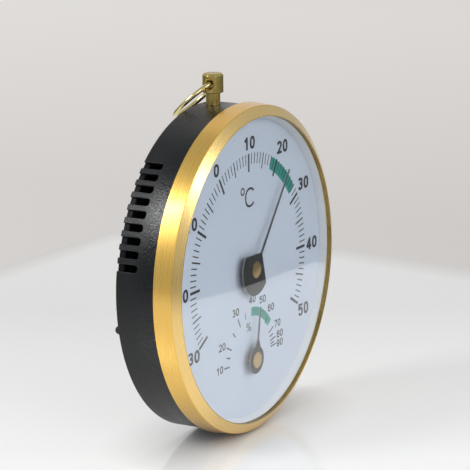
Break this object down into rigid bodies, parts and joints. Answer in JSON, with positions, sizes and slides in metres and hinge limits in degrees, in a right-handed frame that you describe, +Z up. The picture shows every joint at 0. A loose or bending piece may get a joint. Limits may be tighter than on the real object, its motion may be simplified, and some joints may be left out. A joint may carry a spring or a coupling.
{
  "type": "wall thermo-hygrometer",
  "caption": "Round wall thermo-hygrometer: slotted moulded case, turned bezel over a flat glass, two pointers on bimetal and moisture spirals, and a swinging hanging ring.",
  "frame": {"origin": "centre of the back cover's flat rear face, on the dial's axis", "axes": "+Y out of the back towards the wall, the dial faces -Y, +X to the right as the dial is read, +Z up along the hanger stud"},
  "size_m": [0.1018, 0.0285, 0.1104],
  "materials": {
    "case_plastic": "fine-grain moulded ABS",
    "cover_plastic": "fine-grain moulded ABS",
    "foot_rubber": "matt",
    "gold_aluminium": "turned and gold anodised",
    "window_glass": "clear flat glass",
    "white_plastic": "satin",
    "dial_paint": "satin bluish white print ground",
    "pointer_paint": "satin black",
    "brass": "turned, plain",
    "steel": "drawn bright",
    "bimetal": "rolled strip",
    "sensing_strip": "coated strip"
  },
  "bodies": {
    "instrument": {"case": "case_plastic", "back_cover": "cover_plastic", "cover_screws": "steel", "rear_feet": "foot_rubber", "bezel": "gold_aluminium", "glass": "window_glass", "glass_seat_ring": "gold_aluminium", "spacer_ring": "white_plastic", "dial_plate": "dial_paint", "movement_plate": "brass", "thermo_bush": "brass", "hygro_bush": "brass", "bush_nuts": "brass", "thermo_pillars": "brass", "thermo_bridge": "brass", "thermo_bridge_screws": "steel", "thermo_rear_bush": "brass", "thermo_spiral_post": "brass", "thermo_spiral": "bimetal", "hygro_pillars": "brass", "hygro_bridge": "brass", "hygro_bridge_screws": "steel", "hanger_stud": "brass", "hanger_washer": "steel", "hanger_nut": "brass"},
    "thermo_pointer_set": {"thermo_staff": "steel", "thermo_collet": "brass", "thermo_pointer": "pointer_paint", "thermo_pointer_boss": "brass"},
    "hygro_adjuster_set": {"hygro_adjuster": "brass", "hygro_spiral_post": "brass", "hygro_spiral": "sensing_strip"},
    "hygro_pointer_set": {"hygro_staff": "steel", "hygro_collet": "brass", "hygro_pointer": "pointer_paint", "hygro_pointer_boss": "brass"},
    "ring": {"hanging_ring": "brass"}
  },
  "joints": [
    {"name": "thermo_pointer_turn", "type": "hinge", "parent": "instrument", "child": "thermo_pointer_set", "pos_m": [0, -0.0165, 0], "axis": [0, 1, 0], "range_deg": [-159, 81], "stiffness_Nm_per_rad": 0.001, "deforming": ["thermo_spiral"]},
    {"name": "hygro_adjuster_turn", "type": "hinge", "parent": "instrument", "child": "hygro_adjuster_set", "pos_m": [0, -0.005, -0.0285], "axis": [0, 1, 0], "range_deg": [-20, 20]},
    {"name": "hygro_pointer_turn", "type": "hinge", "parent": "instrument", "child": "hygro_pointer_set", "pos_m": [0, -0.0165, -0.0285], "axis": [0, 1, 0], "range_deg": [-96.8, 77.5], "stiffness_Nm_per_rad": 0.001, "deforming": ["hygro_spiral"]},
    {"name": "ring_swing", "type": "hinge", "parent": "instrument", "child": "ring", "pos_m": [0, -0.0046, 0.0566], "axis": [0.9903, 0.1392, 0], "range_deg": [0, 240]}
  ]
}
